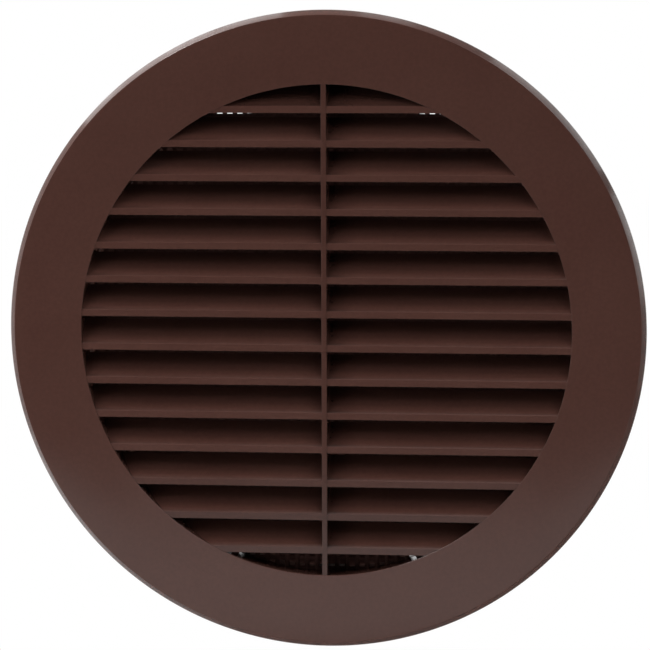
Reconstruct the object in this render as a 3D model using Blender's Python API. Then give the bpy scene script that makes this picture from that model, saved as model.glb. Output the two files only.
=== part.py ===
# Round louvred vent grille for the end of a 150 mm ventilation duct.
# Metres, +Z up. The duct's axis is Y and the face looks towards -Y.
# The plane y = 0 is the wall that the flange rests against.
import math

import bpy
import bmesh
from mathutils import Matrix, Vector

# Face moulding: flange, opening and throat
opening_diameter = 0.1437
flange_width = 0.0214
flange_thickness = 0.0036
back_recess = 0.0014
flange_bevel_width = 0.00145
flange_bevel_depth = 0.0017
opening_edge_radius = 0.0004
rim_width = 0.0024
throat_wall = 0.0013
throat_lead_in = 0.0004

# Louvres and centre rib
louvre_pitch = 0.009926
louvre_land = 0.00198
louvre_rear_land = 0.0015
louvre_depth = 0.0074
louvre_angle = math.radians(42)
louvre_edge = 0.00025
louvre_recess = 0.0002
rib_width = 0.00162
rib_recess = 0.0001
rib_overhang = 0.0002
throat_overhang = 0.0006

# Snap joint between throat and collar
catch_count = 4
catch_start = math.radians(60)
catch_width = 0.006
catch_height = 0.00075
catch_length = 0.0016
catch_setback = 0.001

# Duct collar with spring fingers
collar_wall = 0.0011
collar_length = 0.020
collar_flange_width = 0.0055
collar_lead_in = 0.0006
collar_lead_in_length = 0.0015
ledge_thickness = 0.0012
bead_height = 0.00035
bead_width = 0.002
bead_setback = 0.005
slot_count = 12
slot_width = 0.0028
slot_root_gap = 0.0014

# Insect net
mesh_rim_width = 0.0012
mesh_rim_thickness = 0.0012
mesh_strand = 0.0012
mesh_pitch = 0.00287
mesh_layer_depth = 0.0006
mesh_layer_step = 0.0002
strands_per_bar = 4

# Leaf spring clips
clip_count = 4
clip_width = 0.009
clip_thickness = 0.0005
clip_ledge_gap = 0.0028
clip_wall_gap = 0.0053
clip_bow = 0.0022
clip_notch_depth = 0.0012

# Gap kept between pieces that touch
clearance = 0.0003

# Facets
ring_segments = 96
edge_steps = 4

# Worked out from the sizes above
opening_radius = opening_diameter / 2
flange_radius = opening_radius + flange_width
front_y = -flange_thickness
plate_back_y = -back_recess
louvre_rear_y = front_y + louvre_recess + louvre_depth
throat_rear_y = louvre_rear_y + throat_overhang
throat_radius = opening_radius + throat_wall
collar_bore_radius = throat_radius + clearance
collar_radius = collar_bore_radius + collar_wall
collar_flange_radius = collar_bore_radius + collar_flange_width
rim_bore_radius = flange_radius - rim_width
mesh_front_y = throat_rear_y + clearance
mesh_rear_y = mesh_front_y + mesh_rim_thickness
ledge_front_y = mesh_rear_y + clearance
ledge_rear_y = ledge_front_y + ledge_thickness
mesh_outer_radius = collar_bore_radius - clearance
mesh_rim_middle = mesh_outer_radius - mesh_rim_width / 2


def clear_scene():
    for item in list(bpy.data.objects):
        bpy.data.objects.remove(item, do_unlink=True)


def make_material(name, colour, roughness, metallic=0.0):
    material = bpy.data.materials.new(name)
    material.use_nodes = True
    shader = material.node_tree.nodes["Principled BSDF"]
    shader.inputs["Base Color"].default_value = (*colour, 1.0)
    shader.inputs["Roughness"].default_value = roughness
    shader.inputs["Metallic"].default_value = metallic
    return material


def make_object(name, mesh_builder, material=None):
    mesh = bpy.data.meshes.new(name)
    mesh_builder.to_mesh(mesh)
    mesh_builder.free()
    item = bpy.data.objects.new(name, mesh)
    bpy.context.scene.collection.objects.link(item)
    if material:
        mesh.materials.append(material)
        mesh.shade_smooth()
        mesh.set_sharp_from_angle(angle=math.radians(30))
    return item


def make_cutter(name, mesh_builder):
    cutter = make_object(name, mesh_builder)
    cutter.hide_render = True
    cutter.display_type = "WIRE"
    return cutter


def combine(item, other, operation):
    step = item.modifiers.new(other.name, "BOOLEAN")
    step.operation = operation
    step.solver = "EXACT"
    step.object = other


# A closed outline of (radius, depth) points turned once round the duct's axis.
def turned(outline):
    bm = bmesh.new()
    verts = [bm.verts.new((radius, depth, 0)) for radius, depth in outline]
    edges = [bm.edges.new(pair) for pair in zip(verts, verts[1:] + verts[:1])]
    bmesh.ops.spin(bm, geom=verts + edges, cent=(0, 0, 0), axis=(0, 1, 0),
                   angle=math.tau, steps=ring_segments)
    bmesh.ops.remove_doubles(bm, verts=bm.verts, dist=1e-6)
    bmesh.ops.recalc_face_normals(bm, faces=bm.faces)
    return bm


# Adds a prism: a flat outline pushed along one direction.
def add_prism(bm, outline, push):
    verts = [bm.verts.new(point) for point in outline]
    face = bm.faces.new(verts)
    pushed = bmesh.ops.extrude_face_region(bm, geom=[face])["geom"]
    moved = [part for part in pushed if isinstance(part, bmesh.types.BMVert)]
    bmesh.ops.translate(bm, verts=moved, vec=push)
    return verts + moved


def add_box(bm, low, high):
    outline = [(low[0], low[1], low[2]), (high[0], low[1], low[2]),
               (high[0], high[1], low[2]), (low[0], high[1], low[2])]
    return add_prism(bm, outline, (0, 0, high[2] - low[2]))


# Turns new geometry, drawn at the +X side, round the duct's axis by an angle.
def turn_about_axis(bm, verts, angle):
    bmesh.ops.rotate(bm, verts=verts, cent=(0, 0, 0), matrix=Matrix.Rotation(angle, 3, "Y"))


def arc(centre, radius, start, end, steps):
    points = []
    for index in range(steps + 1):
        angle = start + (end - start) * index / steps
        points.append((centre[0] + radius * math.cos(angle), centre[1] + radius * math.sin(angle)))
    return points


def finish_faces(bm):
    bmesh.ops.recalc_face_normals(bm, faces=bm.faces)
    return bm


# Flange with its bevelled rim, opening lip and throat in one turned outline.
def flange_outline():
    inner_centre = (opening_radius + opening_edge_radius, front_y + opening_edge_radius)
    outline = [(flange_radius, front_y + flange_bevel_depth),
               (flange_radius - flange_bevel_width, front_y)]
    outline += arc(inner_centre, opening_edge_radius, -math.pi / 2, -math.pi, edge_steps // 2)
    outline += [(opening_radius, throat_rear_y),
                (throat_radius - throat_lead_in, throat_rear_y),
                (throat_radius, throat_rear_y - throat_lead_in),
                (throat_radius, plate_back_y),
                (rim_bore_radius, plate_back_y),
                (rim_bore_radius, 0),
                (flange_radius, 0)]
    return outline


# Side view of one louvre, as (depth, height): a flat front land with eased edges,
# then a blade that rises and thins towards the back.
def louvre_outline(middle):
    front = front_y + louvre_recess
    rise = louvre_depth * math.tan(louvre_angle)
    low = middle - louvre_land / 2
    high = middle + louvre_land / 2
    eased = louvre_edge * math.tan(louvre_angle)
    rear_low = low + rise + (louvre_land - louvre_rear_land) / 2
    return [(front, low + louvre_edge),
            (front + louvre_edge, low + eased),
            (louvre_rear_y, rear_low),
            (louvre_rear_y, rear_low + louvre_rear_land),
            (front + louvre_edge, high + eased),
            (front, high - louvre_edge)]


def louvre_heights():
    rows_each_half = math.floor((opening_radius - louvre_land / 2) / louvre_pitch + 0.5)
    return [louvre_pitch * (row + 0.5) for row in range(-rows_each_half, rows_each_half)]


# The blades run past the opening and are then trimmed inside the throat's wall.
def make_louvres():
    bm = bmesh.new()
    for height in louvre_heights():
        outline = [(-throat_radius, depth, level) for depth, level in louvre_outline(height)]
        add_prism(bm, outline, (2 * throat_radius, 0, 0))
    louvres = make_cutter("louvre_blades", finish_faces(bm))
    trim = bmesh.new()
    bmesh.ops.create_cone(trim, cap_ends=True, segments=ring_segments,
                          radius1=opening_radius + throat_wall / 2,
                          radius2=opening_radius + throat_wall / 2,
                          depth=4 * louvre_depth)
    bmesh.ops.rotate(trim, verts=trim.verts, matrix=Matrix.Rotation(math.pi / 2, 3, "X"))
    combine(louvres, make_cutter("louvre_trim", finish_faces(trim)), "INTERSECT")
    return louvres


def make_rib():
    bm = bmesh.new()
    reach = opening_radius + throat_wall / 2
    add_box(bm, (-rib_width / 2, front_y + rib_recess, -reach),
            (rib_width / 2, louvre_rear_y + rib_overhang, reach))
    return make_cutter("rib_bar", finish_faces(bm))


def catch_angle(index):
    return catch_start + math.tau * index / catch_count


# Wedges on the throat that the collar's windows snap over.
def make_catches():
    bm = bmesh.new()
    root = throat_radius - throat_wall / 2
    ramp_end = throat_rear_y - catch_setback
    catch_face = ramp_end - catch_length
    for index in range(catch_count):
        outline = [(root, catch_face, -catch_width / 2),
                   (throat_radius + catch_height, catch_face, -catch_width / 2),
                   (throat_radius, ramp_end, -catch_width / 2),
                   (root, ramp_end, -catch_width / 2)]
        verts = add_prism(bm, outline, (0, 0, catch_width))
        turn_about_axis(bm, verts, catch_angle(index))
    return make_cutter("throat_catches", finish_faces(bm))


def make_front_grille(material):
    grille = make_object("front_grille", turned(flange_outline()), material)
    combine(grille, make_louvres(), "UNION")
    combine(grille, make_rib(), "UNION")
    combine(grille, make_catches(), "UNION")
    return grille


# Collar tube with its front flange, the ledge that holds the net, and a grip bead.
def collar_outline():
    bead_rear = collar_length - bead_setback
    return [(collar_bore_radius, plate_back_y + clearance),
            (collar_flange_radius, plate_back_y + clearance),
            (collar_flange_radius, 0),
            (collar_radius, 0),
            (collar_radius, bead_rear - bead_width),
            (collar_radius + bead_height, bead_rear - bead_width / 2),
            (collar_radius, bead_rear),
            (collar_radius, collar_length - collar_lead_in_length),
            (collar_radius - collar_lead_in, collar_length),
            (collar_bore_radius, collar_length),
            (collar_bore_radius, ledge_rear_y),
            (mesh_outer_radius - mesh_rim_width, ledge_rear_y),
            (mesh_outer_radius - mesh_rim_width, ledge_front_y),
            (collar_bore_radius, ledge_front_y)]


# Open-ended slots that free the fingers, with a round root against cracking.
def make_finger_slots():
    bm = bmesh.new()
    inside = collar_bore_radius - collar_wall
    through = 3 * collar_wall + bead_height
    root_y = ledge_rear_y + slot_root_gap + slot_width / 2
    for index in range(slot_count):
        round_root = arc((root_y, 0), slot_width / 2, math.pi / 2, 3 * math.pi / 2, edge_steps * 2)
        outline = [(inside, depth, across) for depth, across in round_root]
        outline += [(inside, collar_length + clearance, -slot_width / 2),
                    (inside, collar_length + clearance, slot_width / 2)]
        verts = add_prism(bm, outline, (through, 0, 0))
        turn_about_axis(bm, verts, math.tau * (index + 0.5) / slot_count)
    return make_cutter("finger_slots", finish_faces(bm))


def make_catch_windows():
    bm = bmesh.new()
    inside = collar_bore_radius - collar_wall / 2
    half_width = catch_width / 2 + clearance
    ramp_end = throat_rear_y - catch_setback
    for index in range(catch_count):
        verts = add_box(bm, (inside, ramp_end - catch_length - clearance, -half_width),
                        (collar_radius + collar_wall, ramp_end + clearance, half_width))
        turn_about_axis(bm, verts, catch_angle(index))
    return make_cutter("catch_windows", finish_faces(bm))


def clip_angle(index):
    return math.tau * index / clip_count


def make_clip_notches():
    bm = bmesh.new()
    half_width = clip_width / 2 + clearance
    for index in range(clip_count):
        low = (collar_bore_radius - collar_wall, collar_length - clip_notch_depth, -half_width)
        high = (collar_radius + collar_wall, collar_length + clearance, half_width)
        verts = add_box(bm, low, high)
        turn_about_axis(bm, verts, clip_angle(index))
    return make_cutter("clip_notches", finish_faces(bm))


def make_duct_collar(material):
    collar = make_object("duct_collar", turned(collar_outline()), material)
    combine(collar, make_finger_slots(), "DIFFERENCE")
    combine(collar, make_catch_windows(), "DIFFERENCE")
    combine(collar, make_clip_notches(), "DIFFERENCE")
    return collar


# Bars of the net along one direction. The solid carries one bar for several strands,
# each as wide as a real strand, and the bars end in the middle of the rim.
def add_net_bars(bm, low_y, high_y, upright):
    spacing = mesh_pitch * strands_per_bar
    bars_each_half = math.floor((mesh_rim_middle - mesh_rim_width) / spacing)
    for index in range(-bars_each_half, bars_each_half + 1):
        offset = spacing * index
        reach = math.sqrt(mesh_rim_middle ** 2 - offset ** 2)
        left, right = offset - mesh_strand / 2, offset + mesh_strand / 2
        if upright:
            add_box(bm, (left, low_y, -reach), (right, high_y, reach))
        else:
            add_box(bm, (-reach, low_y, left), (reach, high_y, right))


# The upright strands lie a step in front of the level ones, in the middle of the rim.
def make_insect_mesh(material):
    inner = mesh_outer_radius - mesh_rim_width
    rim = turned([(inner, mesh_front_y), (mesh_outer_radius, mesh_front_y),
                  (mesh_outer_radius, mesh_rear_y), (inner, mesh_rear_y)])
    net = make_object("insect_mesh", rim, material)
    net_depth = mesh_layer_depth + mesh_layer_step
    upright_y = mesh_front_y + (mesh_rim_thickness - net_depth) / 2
    level_y = upright_y + mesh_layer_step
    for name, low_y, upright in (("upright_strands", upright_y, True),
                                 ("level_strands", level_y, False)):
        bm = bmesh.new()
        add_net_bars(bm, low_y, low_y + mesh_layer_depth, upright)
        combine(net, make_cutter(name, finish_faces(bm)), "UNION")
    return net


def make_flange_gasket(material):
    inner = collar_flange_radius + clearance
    outer = rim_bore_radius - clearance
    front = plate_back_y + clearance
    outline = [(inner, front), (outer, front), (outer, 0), (inner, 0)]
    return make_object("flange_gasket", turned(outline), material)


# Middle line of a clip, as (radius, depth): up the collar's inside, round its rear edge,
# and forward again along the outside in a bow that presses on the duct.
def clip_path():
    half = clip_thickness / 2
    bulge = collar_bore_radius - math.sqrt(collar_bore_radius ** 2 - (clip_width / 2) ** 2)
    inside = collar_bore_radius - clearance - bulge - half
    outside = collar_radius + clearance + half
    bend_radius = (outside - inside) / 2
    bend_y = collar_length - clip_notch_depth + clearance + half - bend_radius
    path = [(inside, ledge_rear_y + clip_ledge_gap)]
    path += arc(((inside + outside) / 2, bend_y), bend_radius, math.pi, 0, edge_steps * 2)
    bow_steps = edge_steps * 2
    for step in range(1, bow_steps + 1):
        share = step / bow_steps
        path.append((outside + clip_bow * math.sin(math.pi * share) ** 2 + clearance * share,
                     bend_y + (clip_wall_gap - bend_y) * share))
    return path


# Two lines at half the thickness on each side of a path, joined into one outline.
def thicken(path, thickness):
    left, right = [], []
    for index, point in enumerate(path):
        before = Vector(path[max(index - 1, 0)])
        after = Vector(path[min(index + 1, len(path) - 1)])
        along = (after - before).normalized()
        side = Vector((-along.y, along.x)) * thickness / 2
        left.append(Vector(point) + side)
        right.append(Vector(point) - side)
    return left + right[::-1]


def make_spring_clip(index, material):
    bm = bmesh.new()
    outline = [(point.x, point.y, -clip_width / 2) for point in thicken(clip_path(), clip_thickness)]
    verts = add_prism(bm, outline, (0, 0, clip_width))
    turn_about_axis(bm, verts, clip_angle(index))
    return make_object(f"spring_clip_{index + 1}", finish_faces(bm), material)


def main():
    clear_scene()
    brown = make_material("chocolate_plastic", (0.062, 0.029, 0.023), 0.45)
    net_brown = make_material("net_plastic", (0.05, 0.025, 0.02), 0.5)
    foam = make_material("black_foam", (0.02, 0.02, 0.021), 0.9)
    steel = make_material("spring_steel", (0.6, 0.6, 0.58), 0.3, 1.0)
    make_front_grille(brown)
    make_duct_collar(brown)
    make_insect_mesh(net_brown)
    make_flange_gasket(foam)
    for index in range(clip_count):
        make_spring_clip(index, steel)


main()
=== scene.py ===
import math

import bmesh
import bpy
from mathutils import Matrix, Vector


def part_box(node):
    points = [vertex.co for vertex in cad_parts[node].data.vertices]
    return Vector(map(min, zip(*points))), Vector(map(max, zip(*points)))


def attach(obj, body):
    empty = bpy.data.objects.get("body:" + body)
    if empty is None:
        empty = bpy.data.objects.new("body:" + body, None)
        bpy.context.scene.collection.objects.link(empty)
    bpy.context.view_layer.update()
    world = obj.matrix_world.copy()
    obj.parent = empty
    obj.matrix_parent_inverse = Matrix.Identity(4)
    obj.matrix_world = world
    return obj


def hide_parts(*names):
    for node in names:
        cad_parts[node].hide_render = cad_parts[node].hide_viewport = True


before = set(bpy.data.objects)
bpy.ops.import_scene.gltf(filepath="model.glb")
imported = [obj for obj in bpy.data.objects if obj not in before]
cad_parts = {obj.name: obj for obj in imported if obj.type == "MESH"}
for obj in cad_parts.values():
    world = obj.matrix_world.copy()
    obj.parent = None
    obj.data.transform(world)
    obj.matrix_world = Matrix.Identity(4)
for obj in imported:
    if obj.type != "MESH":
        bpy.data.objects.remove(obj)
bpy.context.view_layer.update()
print("frame loaded:", ", ".join(sorted(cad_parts)))

grilleLow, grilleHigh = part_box("front_grille")
collarLow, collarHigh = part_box("duct_collar")
netLow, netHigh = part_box("insect_mesh")
gasketLow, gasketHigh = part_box("flange_gasket")
seatGap = 0.0003  # air between pieces that touch
sharpAngle = math.radians(32)  # an edge that turns more than this stays sharp
mergeDistance = 1e-7
acrossDuct = (1, 0, 1)  # keeps the two axes across the duct
alongFloor = (1, 1, 0)  # keeps the two axes along the floor


# Mesh helpers

def removeObject(item):
    bpy.data.objects.remove(item, do_unlink=True)


def newObject(name, data):
    item = bpy.data.objects.new(name, data)
    bpy.context.scene.collection.objects.link(item)
    return item


def fromBmesh(name, bm):
    bmesh.ops.recalc_face_normals(bm, faces=bm.faces)
    mesh = bpy.data.meshes.new(name)
    bm.to_mesh(mesh)
    bm.free()
    return newObject(name, mesh)


def roundCorner(centre, radius, start, end, steps):  # points of an arc, from one angle in degrees to another
    turns = [math.radians(start + (end - start) * step / steps) for step in range(steps + 1)]
    return [(centre[0] + radius * math.cos(turn), centre[1] + radius * math.sin(turn)) for turn in turns]


def turnRing(name, outline, segments):  # closed outline of (radius, depth) turned once about the duct's axis
    bm = bmesh.new()
    rings = []
    for index in range(segments):
        turn = math.tau * index / segments
        rings.append([bm.verts.new((radius * math.cos(turn), depth, radius * math.sin(turn)))
                      for radius, depth in outline])
    for index, ring in enumerate(rings):
        after = rings[(index + 1) % segments]
        for point in range(len(outline)):
            other = (point + 1) % len(outline)
            bm.faces.new((ring[point], ring[other], after[other], after[point]))
    return fromBmesh(name, bm)


def pushOutline(name, points, push):  # flat outline pushed straight into a closed prism
    bm = bmesh.new()
    face = bm.faces.new([bm.verts.new(point) for point in points])
    pushed = bmesh.ops.extrude_face_region(bm, geom=[face])["geom"]
    moved = [part for part in pushed if isinstance(part, bmesh.types.BMVert)]
    bmesh.ops.translate(bm, verts=moved, vec=push)
    return fromBmesh(name, bm)


def bakeMesh(item):  # swaps an object's modifiers for the mesh they make
    shown = item.evaluated_get(bpy.context.evaluated_depsgraph_get())
    mesh = bpy.data.meshes.new_from_object(shown)
    item.modifiers.clear()
    item.data = mesh
    return item


def combine(item, others, operation):
    for other in others:
        step = item.modifiers.new(other.name, "BOOLEAN")
        step.operation = operation
        step.solver = "EXACT"
        step.object = other
    bakeMesh(item)
    for other in others:
        removeObject(other)
    return item


def finishPiece(item, material, nodes):
    mesh = item.data
    mesh.materials.clear()
    mesh.materials.append(material)
    mesh.shade_smooth()
    mesh.set_sharp_from_angle(angle=sharpAngle)
    even = item.modifiers.new("evenNormals", "WEIGHTED_NORMAL")
    even.keep_sharp = True
    bakeMesh(item)
    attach(item, "root")
    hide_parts(*nodes)
    print(item.name, "has", sum(len(face.vertices) - 2 for face in item.data.polygons), "triangles")
    return item


# Node helpers

def addNode(tree, kind, inputs=None, **settings):
    node = tree.nodes.new(kind)
    for name, value in settings.items():
        setattr(node, name, value)
    for name, value in (inputs or {}).items():
        if isinstance(value, bpy.types.NodeSocket):
            tree.links.new(value, node.inputs[name])
        else:
            node.inputs[name].default_value = value
    return node


def calculate(tree, operation, first, second=0.0):
    return addNode(tree, "ShaderNodeMath", {0: first, 1: second}, operation=operation).outputs[0]


def multiply(tree, first, second):
    return calculate(tree, "MULTIPLY", first, second)


def halfChord(tree, radius, offset):  # half the width of a circle at a distance from its middle
    squares = calculate(tree, "SUBTRACT", multiply(tree, radius, radius), multiply(tree, offset, offset))
    return calculate(tree, "SQRT", squares)


def joinVector(tree, x=0.0, y=0.0, z=0.0):
    return addNode(tree, "ShaderNodeCombineXYZ", {"X": x, "Y": y, "Z": z}).outputs[0]


def splitVector(tree, vector):
    return addNode(tree, "ShaderNodeSeparateXYZ", {0: vector}).outputs


# Geometry node helpers

def pointPlace(tree):
    return splitVector(tree, tree.nodes.new("GeometryNodeInputPosition").outputs[0])


def newTree(name, sockets):  # a tree with a geometry output and the named inputs
    tree = bpy.data.node_groups.new(name, "GeometryNodeTree")
    tree.interface.new_socket("Geometry", in_out="OUTPUT", socket_type="NodeSocketGeometry")
    for label, kind in sockets.items():
        tree.interface.new_socket(label, in_out="INPUT", socket_type="NodeSocket" + kind)
    return tree, tree.nodes.new("NodeGroupInput").outputs


def closeTree(tree, geometry, material):
    real = addNode(tree, "GeometryNodeRealizeInstances", {"Geometry": geometry}).outputs[0]
    dressed = addNode(tree, "GeometryNodeSetMaterial", {"Geometry": real, "Material": material})
    tree.links.new(dressed.outputs[0], tree.nodes.new("NodeGroupOutput").inputs[0])


def grow(item, tree, values):  # runs a tree on an object and keeps the plain mesh
    step = item.modifiers.new(tree.name, "NODES")
    step.node_group = tree
    for label, value in values.items():
        step[tree.interface.items_tree[label].identifier] = value
    bakeMesh(item)
    bm = bmesh.new()
    bm.from_mesh(item.data)
    bmesh.ops.remove_doubles(bm, verts=bm.verts, dist=mergeDistance)
    bmesh.ops.recalc_face_normals(bm, faces=bm.faces)
    bm.to_mesh(item.data)
    bm.free()
    return item


def growNew(name, tree, values):
    return grow(newObject(name, bpy.data.meshes.new(name)), tree, values)


# Copies a piece drawn at the right-hand side round the duct's axis.
def makeRingTree():
    tree, given = newTree("ringOfCopies", {"Geometry": "Geometry", "Copies": "Int",
                                           "First Angle": "Float", "Material": "Material"})
    spots = addNode(tree, "GeometryNodeMeshLine", {"Count": given["Copies"], "Offset": (0, 0, 0)})
    number = tree.nodes.new("GeometryNodeInputIndex").outputs[0]
    angle = calculate(tree, "DIVIDE", multiply(tree, number, math.tau), given["Copies"])
    turn = joinVector(tree, y=calculate(tree, "ADD", angle, given["First Angle"]))
    copies = addNode(tree, "GeometryNodeInstanceOnPoints",
                     {"Points": spots.outputs[0], "Instance": given["Geometry"], "Rotation": turn})
    closeTree(tree, copies.outputs[0], given["Material"])
    return tree


ringTree = makeRingTree()


def ringOf(item, copies, firstAngle=0.0):
    return grow(item, ringTree, {"Copies": copies, "First Angle": math.radians(firstAngle)})


# Shader helpers

def newGroup(name, takes, gives):
    group = bpy.data.node_groups.new(name, "ShaderNodeTree")
    for label, kind, value in takes:
        socket = group.interface.new_socket(label, in_out="INPUT", socket_type="NodeSocket" + kind)
        socket.default_value = value
    for label, kind in gives:
        group.interface.new_socket(label, in_out="OUTPUT", socket_type="NodeSocket" + kind)
    return group, group.nodes.new("NodeGroupInput").outputs, group.nodes.new("NodeGroupOutput").inputs


def noise(tree, vector, scale, detail=2.0, roughness=0.5, distortion=0.0):
    node = addNode(tree, "ShaderNodeTexNoise", {"Vector": vector, "Scale": scale, "Detail": detail,
                                                "Roughness": roughness, "Distortion": distortion})
    return node.outputs["Fac"]


def remap(tree, value, fromLow, fromHigh, toLow=0.0, toHigh=1.0):
    return addNode(tree, "ShaderNodeMapRange", {"Value": value, "From Min": fromLow, "From Max": fromHigh,
                                                "To Min": toLow, "To Max": toHigh}).outputs[0]


def blendValue(tree, share, first, second):
    return addNode(tree, "ShaderNodeMix", {0: share, 2: first, 3: second}).outputs[0]


def blendColour(tree, share, first, second, mode="MIX"):
    return addNode(tree, "ShaderNodeMix", {0: share, 6: first, 7: second},
                   data_type="RGBA", blend_type=mode).outputs[2]


def shadeColour(tree, colour, shade):
    return blendColour(tree, 1.0, colour, joinVector(tree, shade, shade, shade), "MULTIPLY")


def objectPlace(tree):
    return tree.nodes.new("ShaderNodeTexCoord").outputs["Object"]


def lengthOf(tree, place, axes):  # distance from the origin along the axes that are 1
    kept = addNode(tree, "ShaderNodeVectorMath", {0: place, 1: axes}, operation="MULTIPLY").outputs[0]
    return addNode(tree, "ShaderNodeVectorMath", {0: kept}, operation="LENGTH").outputs["Value"]


def apart(tree, first, second):
    return calculate(tree, "ABSOLUTE", calculate(tree, "SUBTRACT", first, second))


# Moulded plastic skin: pigment clouds, fine spark-eroded grain and a slow waviness from cooling.
skinPattern = {
    "cloudNoise": {"detail": 3.0, "roughness": 0.55, "distortion": 0.3},
    "cloudRange": (0.35, 0.65), "cloudMiddle": 0.5,
    "speckScale": 900.0, "speckNoise": {"detail": 1.0}, "speckRange": (0.3, 0.7), "speckShade": (0.94, 1.06),
    "grainNoise": {"detail": 2.0, "roughness": 0.6},
    "waveScale": 28.0, "waveNoise": {"detail": 1.0}, "waveHeight": 6.0,
}


def makeMouldedSkin(pattern):
    group, given, made = newGroup("mouldedSkin", [
        ("Colour", "Color", (0.06, 0.03, 0.02, 1)), ("Cloud Colour", "Color", (0.07, 0.03, 0.025, 1)),
        ("Cloud Scale", "Float", 45.0), ("Grain Scale", "Float", 3500.0), ("Grain Height", "Float", 0.4),
        ("Roughness", "Float", 0.3), ("Roughness Change", "Float", 0.08)],
        [("Colour", "Color"), ("Roughness", "Float"), ("Height", "Float")])
    place = objectPlace(group)
    clouds = noise(group, place, given["Cloud Scale"], **pattern["cloudNoise"])
    cloudShare = remap(group, clouds, *pattern["cloudRange"])
    colour = blendColour(group, cloudShare, given["Colour"], given["Cloud Colour"])
    speck = noise(group, place, pattern["speckScale"], **pattern["speckNoise"])
    shade = remap(group, speck, *pattern["speckRange"], *pattern["speckShade"])
    group.links.new(shadeColour(group, colour, shade), made["Colour"])
    fromMiddle = calculate(group, "SUBTRACT", clouds, pattern["cloudMiddle"])
    change = multiply(group, fromMiddle, given["Roughness Change"])
    group.links.new(calculate(group, "ADD", given["Roughness"], change), made["Roughness"])
    grain = noise(group, place, given["Grain Scale"], **pattern["grainNoise"])
    waves = noise(group, place, pattern["waveScale"], **pattern["waveNoise"])
    height = calculate(group, "ADD", multiply(group, grain, given["Grain Height"]),
                       multiply(group, waves, pattern["waveHeight"]))
    group.links.new(height, made["Height"])
    return group


# Handling polish and painted sheen: a patchy mask that is strongest where a turned piece is at the given
# radius.
rubAndSheenPattern = {"detail": 3.0, "noiseRange": (0.3, 0.7), "least": 0.4}


def makeRubAndSheenRing(pattern):
    group, given, made = newGroup("rubAndSheenRing", [
        ("Radius", "Float", 0.09), ("Width", "Float", 0.001), ("Breakup", "Float", 200.0)],
        [("Mask", "Float")])
    place = objectPlace(group)
    away = apart(group, lengthOf(group, place, acrossDuct), given["Radius"])
    near = calculate(group, "SUBTRACT", 1.0, calculate(group, "DIVIDE", away, given["Width"]))
    patches = noise(group, place, given["Breakup"], pattern["detail"])
    patchy = remap(group, patches, *pattern["noiseRange"], pattern["least"], 1.0)
    group.links.new(multiply(group, calculate(group, "MAXIMUM", near, 0.0), patchy), made["Mask"])
    return group


# Louvre shading: painted light and shade on the louvres' lands and down their slopes, and on and beside the
# centre rib. The lands are painted lighter, and the slopes brighten just behind their front edge, then fall
# into painted shade further back, beside the rib and under the top lip. The rib's front is a little darker,
# and the lands and rib get darker towards the bottom. The first three bands are shares of the louvres' depth,
# and the other two are heights.
paintedShadingBands = {
    "slopeStart": (0.003, 0.01), "lip": (0.05, 0.13), "deep": (0.2, 0.36),
    "topRow": (0.0645, 0.066), "low": (-0.034, -0.055),
}


def makeLouvrePaintedShading(bands):
    group, given, made = newGroup("louvrePaintedShading", [
        ("Opening Radius", "Float", 0.07), ("Rib Width", "Float", 0.0016), ("Front", "Float", 0.0),
        ("Depth", "Float", 0.007), ("Land Tone", "Float", 1.1), ("Lip Tone", "Float", 0.95),
        ("Slope Tone", "Float", 1.3), ("Deep Tone", "Float", 0.7), ("Top Tone", "Float", 0.7),
        ("Rib Tone", "Float", 0.9), ("Low Tone", "Float", 0.8), ("Rib Shade", "Float", 0.7),
        ("Rib Shade Middle", "Float", 0.0), ("Rib Shade Reach", "Float", 0.007)], [("Tone", "Float")])
    place = objectPlace(group)
    axes = splitVector(group, place)
    inside = calculate(group, "LESS_THAN", lengthOf(group, place, acrossDuct), given["Opening Radius"])
    beside = calculate(group, "GREATER_THAN", calculate(group, "ABSOLUTE", axes["X"]),
                       multiply(group, given["Rib Width"], 0.5))
    back = calculate(group, "DIVIDE", calculate(group, "SUBTRACT", axes["Y"], given["Front"]), given["Depth"])
    lip = remap(group, back, *bands["lip"], given["Lip Tone"], given["Slope Tone"])
    deep = remap(group, back, *bands["deep"], given["Slope Tone"], given["Deep Tone"])
    slope = calculate(group, "MINIMUM", lip, deep)
    fromRib = apart(group, axes["X"], given["Rib Shade Middle"])
    ribShade = remap(group, fromRib, 0.0, given["Rib Shade Reach"], given["Rib Shade"], 1.0)
    topShade = remap(group, axes["Z"], *bands["topRow"], 1.0, given["Top Tone"])
    low = remap(group, axes["Z"], *bands["low"], 1.0, given["Low Tone"])
    land = multiply(group, given["Land Tone"], low)
    shaded = multiply(group, slope, multiply(group, ribShade, topShade))
    blade = blendValue(group, remap(group, back, *bands["slopeStart"]), land, shaded)
    within = blendValue(group, beside, multiply(group, given["Rib Tone"], low), blade)
    group.links.new(blendValue(group, inside, 1.0, within), made["Tone"])
    return group


mouldedSkin = makeMouldedSkin(skinPattern)
rubAndSheenRing = makeRubAndSheenRing(rubAndSheenPattern)
louvrePaintedShading = makeLouvrePaintedShading(paintedShadingBands)


def newMaterial(name, constants):
    material = bpy.data.materials.new(name)
    material.use_nodes = True
    shader = material.node_tree.nodes["Principled BSDF"]
    for label, value in constants.items():
        shader.inputs[label].default_value = value
    return material, material.node_tree, shader


def addBump(tree, shader, height, strength, distance):
    bump = addNode(tree, "ShaderNodeBump", {"Height": height, "Strength": strength, "Distance": distance})
    tree.links.new(bump.outputs[0], shader.inputs["Normal"])


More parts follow.
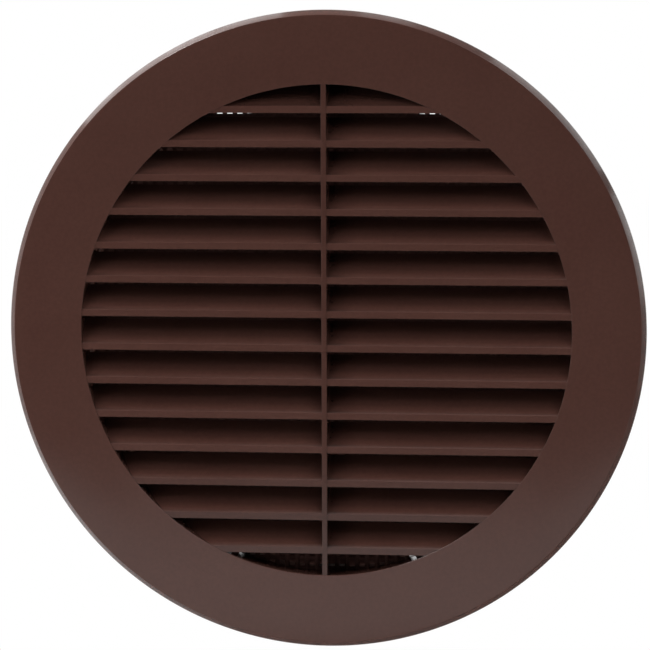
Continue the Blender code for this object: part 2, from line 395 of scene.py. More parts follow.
def mouldedPlastic(name, look):
    material, tree, shader = newMaterial(name, {"IOR": look["ior"], **look["coat"]})
    skin = addNode(tree, "ShaderNodeGroup", look["skin"], node_tree=mouldedSkin).outputs
    rubPlace = {"Radius": look["rubRadius"], "Width": look["rubWidth"]}
    rubbed = addNode(tree, "ShaderNodeGroup", rubPlace, node_tree=rubAndSheenRing).outputs["Mask"]
    # The mask lightens the colour at the rim: partly handling wear, partly a painted highlight.
    wornAndSheen = multiply(tree, rubbed, look["rubAndSheenAmount"])
    tree.links.new(blendColour(tree, wornAndSheen, skin["Colour"], look["rubAndSheenColour"]), shader.inputs["Base Color"])
    tree.links.new(skin["Roughness"], shader.inputs["Roughness"])
    if look["polish"]:
        tree.links.new(multiply(tree, rubbed, look["polish"]), shader.inputs["Coat Weight"])
    addBump(tree, shader, skin["Height"], look["bumpStrength"], look["bumpDistance"])
    return material


# Face moulding: flange, throat, louvres and centre rib

grilleFace = {
    "openingRadius": 0.07185, "plateBack": -0.0014, "rimWidth": 0.0024, "throatWall": 0.0013,
    "bevelWidth": 0.00145, "bevelDepth": 0.0017, "bevelRound": 0.0002, "crownStart": 0.078, "crown": 0.00022,
    "openingRound": 0.0001, "backRound": 0.0003, "throatChamfer": 0.0004,
    "segments": 384, "roundSteps": 8, "backSteps": 3, "flatRings": 14, "crownPower": 3,
    "rowsEachHalf": 7, "pitch": 0.009926, "land": 0.00198, "rearLand": 0.0015,
    "louvreDepth": 0.0074, "riseAngle": 42.0, "louvreRound": 0.00003, "louvreRecess": 0.0002,
    "louvreRoundSteps": 4, "louvreCuts": 5,
    "ribWidth": 0.0015, "ribAside": -0.00012, "ribRecess": 0.0001, "ribOverhang": 0.0002,
    "ribRound": 0.00005, "ribRoundSteps": 3,
    "catches": 4, "firstCatch": 60.0, "catchWidth": 0.006, "catchHeight": 0.00075,
    "catchLength": 0.0016, "catchSetback": 0.001,
}
brownPlastic = {
    "ior": 1.54, "rubRadius": grilleHigh.x, "rubWidth": 0.0016, "rubAndSheenAmount": 0.25,
    "polish": 1.0, "coat": {"Coat IOR": 1.8, "Coat Roughness": 0.08},
    # painted light and shade on the louvres and the centre rib
    "louvrePaintedShading": {"Land Tone": 1.07, "Lip Tone": 0.86, "Slope Tone": 1.1, "Deep Tone": 0.79,
                   "Top Tone": 0.65, "Rib Tone": 0.93, "Low Tone": 0.76,
                   "Rib Shade": 0.66, "Rib Shade Middle": 0.0015, "Rib Shade Reach": 0.0085},
    "rubAndSheenColour": (0.085, 0.042, 0.033, 1), "bumpStrength": 0.25, "bumpDistance": 0.00002,
    "skin": {"Colour": (0.0605, 0.0256, 0.0196, 1), "Cloud Colour": (0.0645, 0.0279, 0.0214, 1),
             "Cloud Scale": 38.0, "Grain Scale": 5200.0, "Grain Height": 0.8,
             "Roughness": 0.16, "Roughness Change": 0.04},
}


def flangeOutline(size):
    outer, front, rear = grilleHigh.x, grilleLow.y, grilleHigh.y
    opening, back, steps = size["openingRadius"], size["plateBack"], size["roundSteps"]
    wide, deep, soft = size["bevelWidth"], size["bevelDepth"], size["bevelRound"]
    lip, small = size["openingRound"], size["backRound"]
    throat = opening + size["throatWall"]
    slope = math.atan2(wide, deep)
    edge = front + size["crown"]
    flatStart = outer - wide - soft * (1 - math.sin(slope)) / math.cos(slope)
    flatEnd = opening + lip
    shoulder = (outer - soft, edge + deep + soft * math.tan(slope / 2))
    outline = roundCorner(shoulder, soft, 0, -math.degrees(slope), steps // 2)
    outline += roundCorner((flatStart, edge + soft), soft, -math.degrees(slope), -90, steps // 2)
    for ring in range(1, size["flatRings"] + 1):
        radius = flatStart + (flatEnd - flatStart) * ring / (size["flatRings"] + 1)
        share = max(0.0, (radius - size["crownStart"]) / (flatStart - size["crownStart"]))
        outline.append((radius, front + size["crown"] * share ** size["crownPower"]))
    outline += roundCorner((flatEnd, front + lip), lip, -90, -180, steps)
    outline += [(opening, rear), (throat - size["throatChamfer"], rear),
                (throat, rear - size["throatChamfer"])]
    rimBore = outer - size["rimWidth"]
    outline += [(throat, back), (rimBore, back)]
    outline += roundCorner((rimBore + small, -small), small, 180, 90, size["backSteps"])
    outline += roundCorner((outer - small, -small), small, 90, 0, size["backSteps"])
    return outline


# Louvres: one rounded section swept across, stacked up the opening, each end drawn in to the throat's circle.
def makeLouvreTree():
    tree, given = newTree("louvreStack", {
        "Rows Each Half": "Int", "Pitch": "Float", "Land": "Float", "Rear Land": "Float", "Depth": "Float",
        "Rise Angle": "Float", "Edge Round": "Float", "Round Steps": "Int", "Cuts": "Int", "Front": "Float",
        "Trim Radius": "Float", "Material": "Material"})
    half = multiply(tree, given["Land"], 0.5)
    rise = multiply(tree, given["Depth"], calculate(tree, "TANGENT", given["Rise Angle"]))
    thinning = multiply(tree, calculate(tree, "SUBTRACT", given["Land"], given["Rear Land"]), 0.5)
    rearLow = calculate(tree, "ADD", calculate(tree, "SUBTRACT", rise, half), thinning)
    rearHigh = calculate(tree, "ADD", rearLow, given["Rear Land"])
    corners = {
        "Point 1": joinVector(tree, 0.0, half),
        "Point 2": joinVector(tree, given["Depth"], multiply(tree, rearLow, -1.0)),
        "Point 3": joinVector(tree, given["Depth"], multiply(tree, rearHigh, -1.0)),
        "Point 4": joinVector(tree, 0.0, multiply(tree, half, -1.0))}
    section = addNode(tree, "GeometryNodeCurvePrimitiveQuadrilateral", corners, mode="POINTS").outputs[0]
    eased = addNode(tree, "GeometryNodeFilletCurve",
                    {"Curve": section, "Count": given["Round Steps"], "Radius": given["Edge Round"]},
                    mode="POLY").outputs[0]
    dense = addNode(tree, "GeometryNodeSubdivideCurve", {"Curve": eased, "Cuts": given["Cuts"]}).outputs[0]
    across = addNode(tree, "GeometryNodeCurvePrimitiveLine",
                     {"Start": (1, 0, 0), "End": (-1, 0, 0)}).outputs[0]
    blade = addNode(tree, "GeometryNodeCurveToMesh",
                    {"Curve": across, "Profile Curve": dense, "Fill Caps": True}).outputs[0]
    rows = multiply(tree, given["Rows Each Half"], 2.0)
    lowest = multiply(tree, given["Pitch"], calculate(tree, "SUBTRACT", 0.5, given["Rows Each Half"]))
    stack = addNode(tree, "GeometryNodeMeshLine",
                    {"Count": rows, "Start Location": joinVector(tree, 0.0, given["Front"], lowest),
                     "Offset": joinVector(tree, 0.0, 0.0, given["Pitch"])}).outputs[0]
    blades = addNode(tree, "GeometryNodeInstanceOnPoints", {"Points": stack, "Instance": blade}).outputs[0]
    real = addNode(tree, "GeometryNodeRealizeInstances", {"Geometry": blades}).outputs[0]
    place = pointPlace(tree)
    reach = halfChord(tree, given["Trim Radius"], place["Z"])
    drawnIn = joinVector(tree, multiply(tree, place["X"], reach), place["Y"], place["Z"])
    fitted = addNode(tree, "GeometryNodeSetPosition", {"Geometry": real, "Position": drawnIn}).outputs[0]
    closeTree(tree, fitted, given["Material"])
    return tree


def makeRib(size):
    bm = bmesh.new()
    reach = size["openingRadius"] + size["throatWall"] / 2
    low = Vector((size["ribAside"] - size["ribWidth"] / 2, grilleLow.y + size["ribRecess"], -reach))
    rear = grilleLow.y + size["louvreRecess"] + size["louvreDepth"] + size["ribOverhang"]
    high = Vector((size["ribAside"] + size["ribWidth"] / 2, rear, reach))
    bmesh.ops.create_cube(bm, size=1, matrix=Matrix.LocRotScale((low + high) / 2, None, high - low))
    upright = [edge for edge in bm.edges if abs(edge.verts[0].co.z - edge.verts[1].co.z) > reach]
    bmesh.ops.bevel(bm, geom=upright, offset=size["ribRound"], segments=size["ribRoundSteps"],
                    profile=0.5, affect="EDGES")
    return fromBmesh("centreRib", bm)


def makeCatches(size):
    throat = size["openingRadius"] + size["throatWall"]
    root = throat - size["throatWall"] / 2
    rampEnd = grilleHigh.y - size["catchSetback"]
    face, across = rampEnd - size["catchLength"], size["catchWidth"] / 2
    wedge = [(root, face), (throat + size["catchHeight"], face), (throat, rampEnd), (root, rampEnd)]
    points = [(radius, depth, -across) for radius, depth in wedge]
    catch = pushOutline("throatCatches", points, (0, 0, 2 * across))
    return ringOf(catch, size["catches"], size["firstCatch"])


# Multiplies the louvres' painted light and shade into the face's colour.
def addLouvrePaintedShading(material, size, look):
    tree = material.node_tree
    target = tree.nodes["Principled BSDF"].inputs["Base Color"]
    colour = target.links[0].from_socket
    places = {"Opening Radius": size["openingRadius"], "Rib Width": size["ribWidth"] + seatGap,
              "Front": grilleLow.y + size["louvreRecess"], "Depth": size["louvreDepth"]}
    tone = addNode(tree, "ShaderNodeGroup", {**places, **look["louvrePaintedShading"]}, node_tree=louvrePaintedShading)
    tree.links.new(shadeColour(tree, colour, tone.outputs["Tone"]), target)


def makeFace(size):
    face = turnRing("grille_face", flangeOutline(size), size["segments"])
    louvres = growNew("louvres", makeLouvreTree(), {
        "Rows Each Half": size["rowsEachHalf"], "Pitch": size["pitch"], "Land": size["land"],
        "Rear Land": size["rearLand"], "Depth": size["louvreDepth"],
        "Rise Angle": math.radians(size["riseAngle"]), "Edge Round": size["louvreRound"],
        "Round Steps": size["louvreRoundSteps"], "Cuts": size["louvreCuts"],
        "Front": grilleLow.y + size["louvreRecess"],
        "Trim Radius": size["openingRadius"] + size["throatWall"] / 2})
    combine(face, [louvres, makeRib(size), makeCatches(size)], "UNION")
    material = mouldedPlastic("chocolatePlastic", brownPlastic)
    addLouvrePaintedShading(material, size, brownPlastic)
    return finishPiece(face, material, ["front_grille"])


makeFace(grilleFace)


# Duct collar with its spring fingers

ductCollar = {
    "wall": 0.0011, "boreGap": seatGap, "ledgeDepth": 0.0012, "ledgeReach": 0.0015,
    "beadHeight": 0.00035, "beadWidth": 0.002, "beadSetback": 0.005, "beadSteps": 8,
    "leadIn": 0.0006, "leadInLength": 0.0015,
    "fingers": 12, "slotWidth": 0.0028, "slotRootGap": 0.0014, "slotRootSteps": 12,
    "notchDepth": 0.0012, "segments": 360, "softEdge": 0.00015,
}
collarPlastic = {
    "ior": 1.5, "rubRadius": collarHigh.x, "rubWidth": 0.0006, "rubAndSheenAmount": 0.3,
    "polish": 0.3, "coat": {"Coat IOR": 1.5, "Coat Roughness": 0.15},
    "rubAndSheenColour": (0.08, 0.04, 0.032, 1), "bumpStrength": 0.3, "bumpDistance": 0.00002,
    "skin": {"Colour": (0.055, 0.025, 0.0198, 1), "Cloud Colour": (0.061, 0.029, 0.023, 1),
             "Cloud Scale": 60.0, "Grain Scale": 4200.0, "Grain Height": 1.0,
             "Roughness": 0.36, "Roughness Change": 0.08},
}
collarBore = grilleFace["openingRadius"] + grilleFace["throatWall"] + ductCollar["boreGap"]
ledgeFront = netHigh.y + seatGap
ledgeRear = ledgeFront + ductCollar["ledgeDepth"]


def collarOutline(size):
    outer, flange = collarBore + size["wall"], collarHigh.x
    front, rear, soft = collarLow.y, collarHigh.y, size["softEdge"]
    ledgeBore = collarBore - size["ledgeReach"]
    beadMiddle = rear - size["beadSetback"] - size["beadWidth"] / 2
    leadStart, tip = rear - size["leadInLength"], outer - size["leadIn"]
    outline = [(collarBore, front), (flange - soft, front), (flange, front + soft),
               (flange, -soft), (flange - soft, 0), (outer + 2 * soft, 0), (outer, 2 * soft)]
    for step in range(size["beadSteps"] + 1):
        along = -math.pi / 2 + math.pi * step / size["beadSteps"]
        outline.append((outer + size["beadHeight"] * math.cos(along),
                        beadMiddle + size["beadWidth"] / 2 * math.sin(along)))
    outline += [(outer, leadStart), (tip, rear - soft), (tip - soft, rear),
                (collarBore + soft, rear), (collarBore, rear - soft),
                (collarBore, ledgeRear + soft), (collarBore - soft, ledgeRear), (ledgeBore + soft, ledgeRear),
                (ledgeBore, ledgeRear - soft), (ledgeBore, ledgeFront + soft),
                (ledgeBore + soft, ledgeFront), (collarBore, ledgeFront)]
    return outline


def boxBetween(name, low, high):
    points = [(low[0], low[1], low[2]), (high[0], low[1], low[2]),
              (high[0], high[1], low[2]), (low[0], high[1], low[2])]
    return pushOutline(name, points, (0, 0, high[2] - low[2]))


def makeCollar(size, clip):
    collar = turnRing("collar_with_fingers", collarOutline(size), size["segments"])
    wall, rear, half = size["wall"], collarHigh.y, size["slotWidth"] / 2
    inside, outside = collarBore - wall, collarBore + wall + wall
    root = ledgeRear + size["slotRootGap"] + half
    slot = [(inside, depth, across)
            for depth, across in roundCorner((root, 0), half, 90, 270, size["slotRootSteps"])]
    slot += [(inside, rear + seatGap, -half), (inside, rear + seatGap, half)]
    halfFinger = 180 / size["fingers"]
    slots = ringOf(pushOutline("fingerSlots", slot, (3 * wall, 0, 0)), size["fingers"], halfFinger)
    windowEnd = grilleHigh.y - grilleFace["catchSetback"] + seatGap
    windowStart = grilleHigh.y - grilleFace["catchSetback"] - grilleFace["catchLength"] - seatGap
    across = grilleFace["catchWidth"] / 2 + seatGap
    window = boxBetween("catchWindows", (collarBore - wall / 2, windowStart, -across),
                        (outside, windowEnd, across))
    windows = ringOf(window, grilleFace["catches"], grilleFace["firstCatch"])
    across = clip["width"] / 2 + seatGap
    notch = boxBetween("clipNotches", (inside, rear - size["notchDepth"], -across),
                       (outside, rear + seatGap, across))
    notches = ringOf(notch, clip["count"])
    combine(collar, [slots, windows, notches], "DIFFERENCE")
    material = mouldedPlastic("collarPlastic", collarPlastic)
    return finishPiece(collar, material, ["duct_collar"])


# Leaf spring clips

springClip = {
    "count": 4, "width": 0.009, "thickness": 0.0005, "ledgeGap": 0.0028, "wallGap": 0.0053,
    "bow": 0.0022, "bendSteps": 20, "bowSteps": 28,
    "softEdge": 0.00012, "softSteps": 2, "softFrom": 60.0,  # degrees that an edge turns before it is softened
}
springSteel = {
    "bright": (0.62, 0.61, 0.59, 1), "dull": (0.50, 0.48, 0.45, 1), "stainScale": 260.0,
    "stainRange": (0.35, 0.7), "drawn": (1.0, 0.04, 1.0), "lineScale": 5200.0, "lineNoise": (3.0, 0.6),
    "lineRange": (0.3, 0.7), "roughness": (0.2, 0.42), "bumpStrength": 0.35, "bumpDistance": 0.00002,
}


def clipPath(size):
    half = size["thickness"] / 2
    bulge = collarBore - math.sqrt(collarBore ** 2 - (size["width"] / 2) ** 2)
    inside = collarBore - seatGap - bulge - half
    outside = collarBore + ductCollar["wall"] + seatGap + half
    bend = (outside - inside) / 2
    bendDepth = collarHigh.y - ductCollar["notchDepth"] + seatGap + half - bend
    path = [(inside, ledgeRear + size["ledgeGap"])]
    path += roundCorner(((inside + outside) / 2, bendDepth), bend, 180, 0, size["bendSteps"])
    for step in range(1, size["bowSteps"] + 1):
        share = step / size["bowSteps"]
        path.append((outside + size["bow"] * math.sin(math.pi * share) ** 2 + seatGap * share,
                     bendDepth + (size["wallGap"] - bendDepth) * share))
    return path


def thickenPath(path, thickness):
    left, right = [], []
    for index, point in enumerate(path):
        along = Vector(path[min(index + 1, len(path) - 1)]) - Vector(path[max(index - 1, 0)])
        side = Vector((-along.y, along.x)).normalized() * thickness / 2
        left.append(Vector(point) + side)
        right.append(Vector(point) - side)
    return left + right[::-1]


def makeSteel(look):
    material, tree, shader = newMaterial("springSteel", {"Metallic": 1.0})
    place = objectPlace(tree)
    drawn = addNode(tree, "ShaderNodeMapping", {"Vector": place, "Scale": look["drawn"]}).outputs[0]
    lines = noise(tree, drawn, look["lineScale"], *look["lineNoise"])
    stain = remap(tree, noise(tree, place, look["stainScale"], detail=3.0), *look["stainRange"])
    rough = remap(tree, lines, *look["lineRange"], *look["roughness"])
    tree.links.new(blendColour(tree, stain, look["bright"], look["dull"]), shader.inputs["Base Color"])
    tree.links.new(rough, shader.inputs["Roughness"])
    addBump(tree, shader, lines, look["bumpStrength"], look["bumpDistance"])
    return material


def makeClips(size):
    sides = thickenPath(clipPath(size), size["thickness"])
    outline = [(point.x, point.y, -size["width"] / 2) for point in sides]
    clip = pushOutline("springClips", outline, (0, 0, size["width"]))
    soft = clip.modifiers.new("softEdge", "BEVEL")
    soft.width = size["softEdge"]
    soft.segments = size["softSteps"]
    soft.limit_method = "ANGLE"
    soft.angle_limit = math.radians(size["softFrom"])
    bakeMesh(clip)
    ringOf(clip, size["count"])
    names = ["spring_clip_%d" % (number + 1) for number in range(size["count"])]
    return finishPiece(clip, makeSteel(springSteel), names)


makeCollar(ductCollar, springClip)
makeClips(springClip)


# Insect net

insectNet = {
    "pitch": 0.00297, "aside": -0.00047, "below": 0.00017, "strandWidth": 0.00142, "strandDepth": 0.00078,
    "layerStep": 0.00022, "sides": 12,
    "rimWidth": 0.0012, "rimRound": 0.0003, "rimSteps": 3, "segments": 240,
}
netPlastic = {
    "ior": 1.2,  # low, so that the strands hardly mirror the lamps
    "rubRadius": netHigh.x, "rubWidth": 0.0008, "rubAndSheenAmount": 0.1, "polish": 0.0, "coat": {},
    "rubAndSheenColour": (0.07, 0.035, 0.028, 1), "bumpStrength": 0.3, "bumpDistance": 0.00002,
    "skin": {"Colour": (0.0540, 0.0235, 0.0195, 1), "Cloud Colour": (0.0600, 0.0260, 0.0215, 1),
             "Cloud Scale": 90.0, "Grain Scale": 3800.0, "Grain Height": 1.0,
             "Roughness": 0.75, "Roughness Change": 0.1},
}


# Net: round strands at even steps, each as long as the rim lets it be, in two fused layers.
def makeNetTree():
    tree, given = newTree("strandNet", {
        "Pitch": "Float", "Aside": "Float", "Below": "Float", "Strand Width": "Float",
        "Strand Depth": "Float", "Layer Step": "Float", "Reach": "Float", "Middle": "Float", "Sides": "Int",
        "Material": "Material"})
    each = calculate(tree, "FLOOR", calculate(tree, "DIVIDE", given["Reach"], given["Pitch"]))
    count = calculate(tree, "ADD", multiply(tree, each, 2.0), 1.0)
    first = multiply(tree, multiply(tree, each, given["Pitch"]), -1.0)
    strand = addNode(tree, "GeometryNodeMeshCylinder",
                     {"Vertices": given["Sides"], "Radius": 0.5, "Depth": 2.0}, fill_type="NGON").outputs[0]
    reach = halfChord(tree, given["Reach"], pointPlace(tree)["X"])
    sized = joinVector(tree, given["Strand Width"], given["Strand Depth"], reach)
    front = calculate(tree, "SUBTRACT", given["Middle"], multiply(tree, given["Layer Step"], 0.5))
    back = calculate(tree, "ADD", front, given["Layer Step"])
    both = tree.nodes.new("GeometryNodeJoinGeometry")
    for shift, depth, turn in ((given["Aside"], front, 0.0), (given["Below"], back, math.pi / 2)):
        start = joinVector(tree, calculate(tree, "ADD", first, shift))
        spots = addNode(tree, "GeometryNodeMeshLine",
                        {"Count": count, "Offset": joinVector(tree, given["Pitch"]),
                         "Start Location": start}).outputs[0]
        strands = addNode(tree, "GeometryNodeInstanceOnPoints",
                          {"Points": spots, "Instance": strand, "Scale": sized}).outputs[0]
        layer = addNode(tree, "GeometryNodeTransform",
                        {"Geometry": strands, "Translation": joinVector(tree, 0.0, depth),
                         "Rotation": (0, turn, 0)}).outputs[0]
        tree.links.new(layer, both.inputs[0])
    closeTree(tree, both.outputs[0], given["Material"])
    return tree


def makeNet(size):
    outer, soft, steps = netHigh.x, size["rimRound"], size["rimSteps"]
    inner = outer - size["rimWidth"]
    outline = roundCorner((outer - soft, netLow.y + soft), soft, 0, -90, steps)
    outline += roundCorner((inner + soft, netLow.y + soft), soft, -90, -180, steps)
    outline += roundCorner((inner + soft, netHigh.y - soft), soft, 180, 90, steps)
    outline += roundCorner((outer - soft, netHigh.y - soft), soft, 90, 0, steps)
    rim = turnRing("netRim", outline, size["segments"])
    net = growNew("insect_net", makeNetTree(), {
        "Pitch": size["pitch"], "Aside": size["aside"], "Below": size["below"],
        "Strand Width": size["strandWidth"], "Strand Depth": size["strandDepth"],
        "Layer Step": size["layerStep"], "Reach": (inner + outer) / 2,
        "Middle": (netLow.y + netHigh.y) / 2, "Sides": size["sides"]})
    bm = bmesh.new()
    bm.from_mesh(net.data)
    bm.from_mesh(rim.data)
    bm.to_mesh(net.data)
    bm.free()
    removeObject(rim)
    return finishPiece(net, mouldedPlastic("netPlastic", netPlastic), ["insect_mesh"])


makeNet(insectNet)


# Foam ring behind the flange

foamRing = {"crown": 0.00025, "crownPower": 0.6, "crownSteps": 10, "edge": 0.0003, "segments": 256}
blackFoam = {
    "roughness": 0.92, "specular": 0.25, "cloudScale": 120.0,
    "dark": (0.014, 0.014, 0.0148, 1), "light": (0.028, 0.0275, 0.028, 1),
    "cellShadeColour": (0.008, 0.008, 0.008, 1), "cellScale": 1500.0, "cellReach": 0.35,
    "bumpStrength": 0.7, "bumpDistance": 0.0003,
}


def makeFoam(look):
    material, tree, shader = newMaterial("closedCellFoam", {"Roughness": look["roughness"],
                                                            "Specular IOR Level": look["specular"]})
    place = objectPlace(tree)
    cells = addNode(tree, "ShaderNodeTexVoronoi",
                    {"Vector": place, "Scale": look["cellScale"]}).outputs["Distance"]
    clouds = noise(tree, place, look["cloudScale"], detail=3.0)
    shade = blendColour(tree, clouds, look["dark"], look["light"])
    # painted shade: the cell pits that the bump hollows out are darkened
    pit = remap(tree, cells, 0.0, look["cellReach"], 1.0, 0.0)
    tree.links.new(blendColour(tree, pit, shade, look["cellShadeColour"]), shader.inputs["Base Color"])
    addBump(tree, shader, cells, look["bumpStrength"], look["bumpDistance"])
    return material


def makeGasket(size):
    inner = collarHigh.x + seatGap
    outer, front, rear = gasketHigh.x, gasketLow.y, gasketHigh.y
    outline = [(inner, front), (inner, rear - size["crown"] - size["edge"])]
    for step in range(size["crownSteps"] + 1):
        share = step / size["crownSteps"]
        rise = size["crown"] * math.sin(math.pi * share) ** size["crownPower"]
        outline.append((inner + size["edge"] + (outer - inner - 2 * size["edge"]) * share,
                        rear - size["crown"] + rise))
    outline += [(outer, rear - size["crown"] - size["edge"]), (outer, front)]
    gasket = turnRing("foam_ring", outline, size["segments"])
    return finishPiece(gasket, makeFoam(blackFoam), ["flange_gasket"])


makeGasket(foamRing)
print("pieces done")


# Floor, card and room

studio = {
    "paleColour": (0.8, 0.8, 0.79, 1),
    "floorLevel": -0.12, "floorSize": 4.0, "floorGlow": 0.3,
    "boardReach": 0.42, "boardBack": 0.085, "boardFade": 0.02,
    "frontMirror": 0.65, "sideMirror": 1.0, "underMirror": 0.16,  # how white each part is in a mirror
    "frontBand": (-0.12, -0.05), "sideBand": (-0.13, -0.03),
}
rearCard = {
    # colour is the painted shade behind the grille; the top and low entries place the painted white glints
    "depth": 0.0006, "radius": 0.079, "steps": 64, "foot": -0.03, "colour": (0.08, 0.04, 0.034, 1),
    "fade": 0.0008, "top": 0.057, "topSide": 0.0195, "topRadius": 0.0677, "topOuter": 0.0714,
    "low": -0.0615, "lowMiddle": -0.002, "lowSide": 0.0235, "lowRadius": 0.0665,
}


def flatSheet(name, corners):
    mesh = bpy.data.meshes.new(name)
    mesh.from_pydata(corners, [], [list(range(len(corners)))])
    return newObject(name, mesh)


def stageMaterial(name):
    material = bpy.data.materials.new(name)
    material.use_nodes = True
    tree = material.node_tree
    tree.nodes.remove(tree.nodes["Principled BSDF"])
    return material, tree, tree.nodes["Material Output"]


def rayKinds(tree):  # outputs of the light path, and a mask of the rays that mirrors and glass send on
    rays = tree.nodes.new("ShaderNodeLightPath").outputs
    return rays, calculate(tree, "MAXIMUM", rays["Is Glossy Ray"], rays["Is Transmission Ray"])


def whiteGlow(tree, strength):
    return addNode(tree, "ShaderNodeEmission", {"Color": (1, 1, 1, 1), "Strength": strength}).outputs[0]


def paint(tree, colour):
    return addNode(tree, "ShaderNodeBsdfDiffuse", {"Color": colour}).outputs[0]


def mixShaders(tree, share, first, second):
    return addNode(tree, "ShaderNodeMixShader", {0: share, 1: first, 2: second}).outputs[0]


# A round card just behind the collar shuts the view through the louvres: a brown sheet that stands in for the
# shade behind the grille, with painted white glints, glowing though no lamp, at its top and bottom edges.
# It isn't there from behind, and only its foot holds back the light of the lamps.
def makeCard(size):
    depth, reach, steps, fade = collarHigh.y + size["depth"], size["radius"], size["steps"], size["fade"]
    turns = [math.tau * step / steps for step in range(steps)]
    card = flatSheet("rearCard", [(reach * math.cos(turn), depth, reach * math.sin(turn)) for turn in turns])
    material, tree, output = stageMaterial("cardPaintedShade")
    place = objectPlace(tree)
    axes = splitVector(tree, place)
    radius = lengthOf(tree, place, acrossDuct)
    above = calculate(tree, "GREATER_THAN", axes["Z"], size["top"])
    topRing = multiply(tree, calculate(tree, "LESS_THAN", radius, size["topOuter"]),
                       remap(tree, radius, size["topRadius"] - fade, size["topRadius"] + fade))
    topSides = remap(tree, calculate(tree, "ABSOLUTE", axes["X"]), size["topSide"], size["topSide"] + fade)
    topGleam = multiply(tree, multiply(tree, above, topRing), topSides)
    below = calculate(tree, "LESS_THAN", axes["Z"], size["low"])
    lowSides = calculate(tree, "GREATER_THAN", apart(tree, axes["X"], size["lowMiddle"]), size["lowSide"])
    lowGleam = multiply(tree, multiply(tree, below, lowSides),
                        remap(tree, radius, size["lowRadius"] - fade, size["lowRadius"] + fade))
    # painted white glints at the card's top and bottom edges
    gleam = calculate(tree, "MAXIMUM", topGleam, lowGleam)
    front = mixShaders(tree, gleam, paint(tree, size["colour"]), whiteGlow(tree, 1.0))
    rays, mirrored = rayKinds(tree)
    seen = calculate(tree, "MAXIMUM", rays["Is Camera Ray"], mirrored)
    foot = calculate(tree, "LESS_THAN", axes["Z"], size["foot"])
    solid = calculate(tree, "MAXIMUM", seen, multiply(tree, foot, rays["Is Shadow Ray"]))
    behind = tree.nodes.new("ShaderNodeNewGeometry").outputs["Backfacing"]
    shown = multiply(tree, solid, calculate(tree, "SUBTRACT", 1.0, behind))
    clear = tree.nodes.new("ShaderNodeBsdfTransparent").outputs[0]
    tree.links.new(mixShaders(tree, shown, clear, front), output.inputs["Surface"])
    card.data.materials.append(material)


# The floor is a pale board near the grille, with its shadow, and fades to plain white further out. In mirrors
# it is white at the grille's left, less so in front, and dim under the grille.
def makeFloor(size):
    span, level = size["floorSize"], size["floorLevel"]
    floor = flatSheet("floor", [(-span, -span, level), (span, -span, level),
                                (span, span, level), (-span, span, level)])
    material, tree, output = stageMaterial("floorPale")
    place = objectPlace(tree)
    axes = splitVector(tree, place)
    away = lengthOf(tree, place, alongFloor)
    outside = remap(tree, away, size["boardReach"], size["boardReach"] + size["boardFade"])
    beyond = remap(tree, axes["Y"], size["boardBack"], size["boardBack"] + size["boardFade"])
    far = calculate(tree, "MAXIMUM", outside, beyond)
    rays, mirrors = rayKinds(tree)
    glow = whiteGlow(tree, multiply(tree, rays["Is Camera Ray"], size["floorGlow"]))
    pale = addNode(tree, "ShaderNodeAddShader", {0: paint(tree, size["paleColour"]), 1: glow}).outputs[0]
    beside = remap(tree, axes["X"], *size["sideBand"], size["sideMirror"], size["underMirror"])
    mirrored = blendValue(tree, remap(tree, axes["Y"], *size["frontBand"]), size["frontMirror"], beside)
    near = mixShaders(tree, mirrors, pale, whiteGlow(tree, mirrored))
    clear = tree.nodes.new("ShaderNodeBsdfTransparent").outputs[0]
    plain = mixShaders(tree, rays["Is Camera Ray"], clear, whiteGlow(tree, 1.0))
    tree.links.new(mixShaders(tree, far, near, plain), output.inputs["Surface"])
    floor.data.materials.append(material)


# The room is white to the eye and behind the grille, and dim in front of it, where the face mirrors it.
def makeRoom(size):
    world = bpy.data.worlds.new("studioRoom")
    bpy.context.scene.world = world
    world.use_nodes = True
    tree = world.node_tree
    back = tree.nodes["Background"]
    way = splitVector(tree, tree.nodes.new("ShaderNodeTexCoord").outputs["Generated"])
    behind = remap(tree, way["Y"], *size["rearBand"])
    rays, mirrors = rayKinds(tree)
    mirrored = multiply(tree, multiply(tree, mirrors, behind), size["roomMirror"])
    white = calculate(tree, "MAXIMUM", rays["Is Camera Ray"], mirrored)
    tree.links.new(remap(tree, white, 0.0, 1.0, size["roomLight"], 1.0), back.inputs["Strength"])
    back.inputs["Color"].default_value = (1, 1, 1, 1)


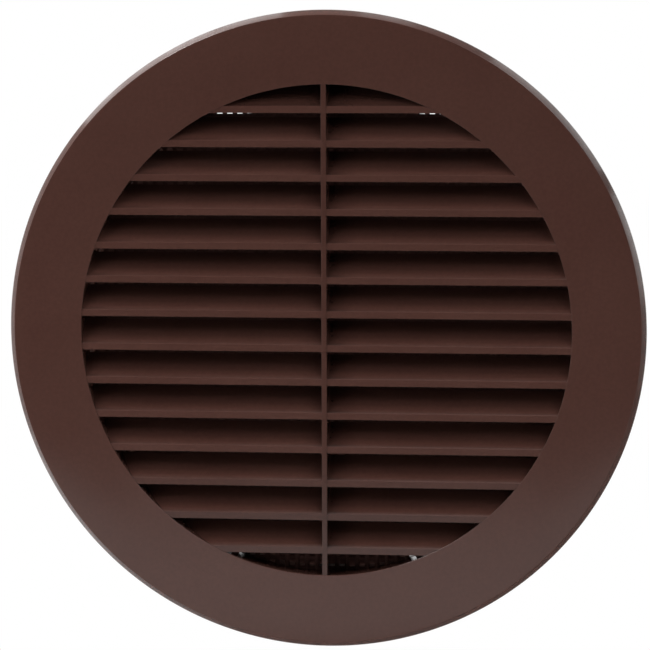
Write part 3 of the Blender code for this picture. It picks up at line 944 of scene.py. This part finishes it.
# The key and back lamps don't show in shiny plastic. The gleam lamp does, as a softer light on the rim.
lamps = {
    "roomLight": 0.035, "roomMirror": 0.6, "rearBand": (-0.1, 0.3),
    "boxes": {
        "keyLamp": {"place": (-0.89, -0.056, 1.08), "size": 0.21, "power": 17.5, "mirrored": False},
        "gleamLamp": {"place": (-0.77, -0.056, 1.16), "size": 0.32, "power": 8.5},
        "softLamp": {"place": (-0.83, 0.05, 1.1), "size": 1.1, "power": 6.5},
        "frontLeftLamp": {"place": (-0.7, -0.75, 0.9), "size": 0.7, "power": 6.0},
        "frontRightLamp": {"place": (0.7, -0.75, 0.9), "size": 0.7, "power": 6.0},
        "leftLamp": {"place": (-1.1, -0.8, 0.15), "size": 0.9, "power": 4.3},
        "rightLamp": {"place": (0.97, -0.1, 0.98), "size": 0.8, "power": 2.2},
        "sideLamp": {"place": (1.36, -0.14, 0.28), "size": 0.6, "power": 1.6},
        "topLamp": {"place": (0.14, -0.14, 1.38), "size": 0.6, "power": 0.9},
        "backLamp": {"place": (1.1, 1.15, 0.1), "size": 1.0, "power": 12.0, "mirrored": False},
    },
}


def makeLamp(name, lamp):
    light = bpy.data.lights.new(name, "AREA")
    light.shape = "SQUARE"
    light.size = lamp["size"]
    light.energy = lamp["power"]
    item = newObject(name, light)
    item.location = lamp["place"]
    item.visible_camera = False
    item.visible_glossy = lamp.get("mirrored", True)
    item.rotation_euler = (-Vector(lamp["place"])).to_track_quat("-Z", "Y").to_euler()


makeCard(rearCard)
makeFloor(studio)
makeRoom(lamps)
for lampName, lampBox in lamps["boxes"].items():
    makeLamp(lampName, lampBox)
print("stage and lamps done")


# Camera at the photograph's viewing angle

viewpoint = {
    "pitch": 6.54, "yaw": 6.90, "roll": 0.59, "lens": 179.94, "sensor": 36.0,
    "aside": 0.0027, "above": 0.0282, "away": 13.145,  # in opening radii from the opening's middle
}


def makeCamera(size):
    camera = newObject("camera", bpy.data.cameras.new("camera"))
    turn = (Matrix.Rotation(math.radians(90 - size["pitch"]), 3, "X")
            @ Matrix.Rotation(math.radians(size["yaw"]), 3, "Y")
            @ Matrix.Rotation(math.radians(size["roll"]), 3, "Z"))
    reach = Vector((size["aside"], size["above"], size["away"])) * grilleFace["openingRadius"]
    camera.matrix_world = Matrix.Translation(Vector((0, grilleLow.y, 0)) + turn @ reach) @ turn.to_4x4()
    camera.data.sensor_width = size["sensor"]
    camera.data.lens = size["lens"]
    bpy.context.scene.camera = camera


makeCamera(viewpoint)
bpy.context.scene.view_settings.view_transform = "Standard"
